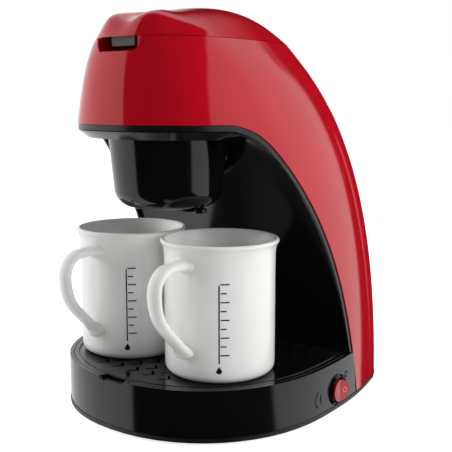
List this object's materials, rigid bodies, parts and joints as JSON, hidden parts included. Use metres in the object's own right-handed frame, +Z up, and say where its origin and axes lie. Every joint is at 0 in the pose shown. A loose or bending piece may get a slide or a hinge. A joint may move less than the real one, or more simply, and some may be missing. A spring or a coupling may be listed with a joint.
{
  "type": "drip coffee maker",
  "caption": "Domed two-cup drip coffee maker with a hinged lid, hanging filter basket, arched bay, chevron drip grate, rocker switch and two mugs.",
  "frame": {"origin": "middle of the footprint, on the surface that the feet stand on", "axes": "+Z up, -Y towards the open bay and the mugs' handles, +X to the user's right with the switch"},
  "size_m": [0.1799, 0.2285, 0.2523],
  "materials": {
    "red_gloss": "high-gloss red moulding",
    "rocker_red": "smooth translucent red moulding",
    "black_gloss": "polished black moulding",
    "black_matte": "fine matte black moulding",
    "trim_grey": "satin dark grey moulding",
    "light_grey": "satin grey moulding",
    "mesh": "fine woven filter cloth",
    "silicone": "soft matte silicone",
    "tank_clear": "natural frosted moulding",
    "cast_aluminium": "as cast",
    "steel": "bright steel",
    "fuse_white": "white sleeve",
    "rubber_black": "soft matte rubber",
    "mug_white": "clear-glazed white ceramic"
  },
  "bodies": {
    "housing": {"body_shell": "red_gloss", "back_shell": "red_gloss", "base_housing": "black_gloss", "head_base": "black_gloss", "filter_basket": "black_gloss", "outlet_spouts": "black_gloss", "column_liner": "black_gloss", "switch_bezel": "black_gloss", "bottom_cover": "black_matte", "brew_deck": "black_matte", "hinge_bracket": "black_matte", "spray_spout": "black_matte", "switch_body": "black_matte", "cord_gland": "black_matte", "arch_trim": "trim_grey", "filter_frame": "light_grey", "check_valve": "light_grey", "heater_standoffs": "light_grey", "filter_mesh": "mesh", "riser_hose": "silicone", "inlet_hose": "silicone", "water_tank": "tank_clear", "heater_block": "cast_aluminium", "thermostat": "cast_aluminium", "cover_screws": "steel", "hinge_pin": "steel", "heater_terminals": "steel", "hose_clamps": "steel", "switch_terminals": "steel", "thermal_fuse": "fuse_white", "rubber_feet": "rubber_black"},
    "lid": {"lid": "red_gloss", "lid_liner": "black_matte", "lid_catch": "light_grey", "lid_knuckle": "red_gloss"},
    "rocker": {"rocker": "rocker_red"},
    "drip_pan": {"drip_pan": "black_matte"},
    "drip_grate": {"drip_grate": "black_gloss"},
    "mug_left": {"mug_left": "mug_white"},
    "mug_right": {"mug_right": "mug_white"}
  },
  "joints": [
    {"name": "lid_hinge", "type": "hinge", "parent": "housing", "child": "lid", "pos_m": [0, 0.03605, 0.2315], "axis": [-1, 0, 0], "range_deg": [0, 95]},
    {"name": "rocker_tilt", "type": "hinge", "parent": "housing", "child": "rocker", "pos_m": [0.08499, 0.0006, 0.0146], "axis": [0, 0, 1], "range_deg": [0, 14]},
    {"name": "pan_lift", "type": "slide", "parent": "housing", "child": "drip_pan", "axis": [0, 0, 1], "range_m": [0, 0.005]},
    {"name": "grate_lift", "type": "slide", "parent": "drip_pan", "child": "drip_grate", "axis": [0, 0, 1], "range_m": [0, 0.006]},
    {"name": "mug_left_slide", "type": "slide", "parent": "drip_grate", "child": "mug_left", "axis": [0, -1, 0], "range_m": [0, 0.15]},
    {"name": "mug_right_slide", "type": "slide", "parent": "drip_grate", "child": "mug_right", "axis": [0, -1, 0], "range_m": [0, 0.15]}
  ]
}
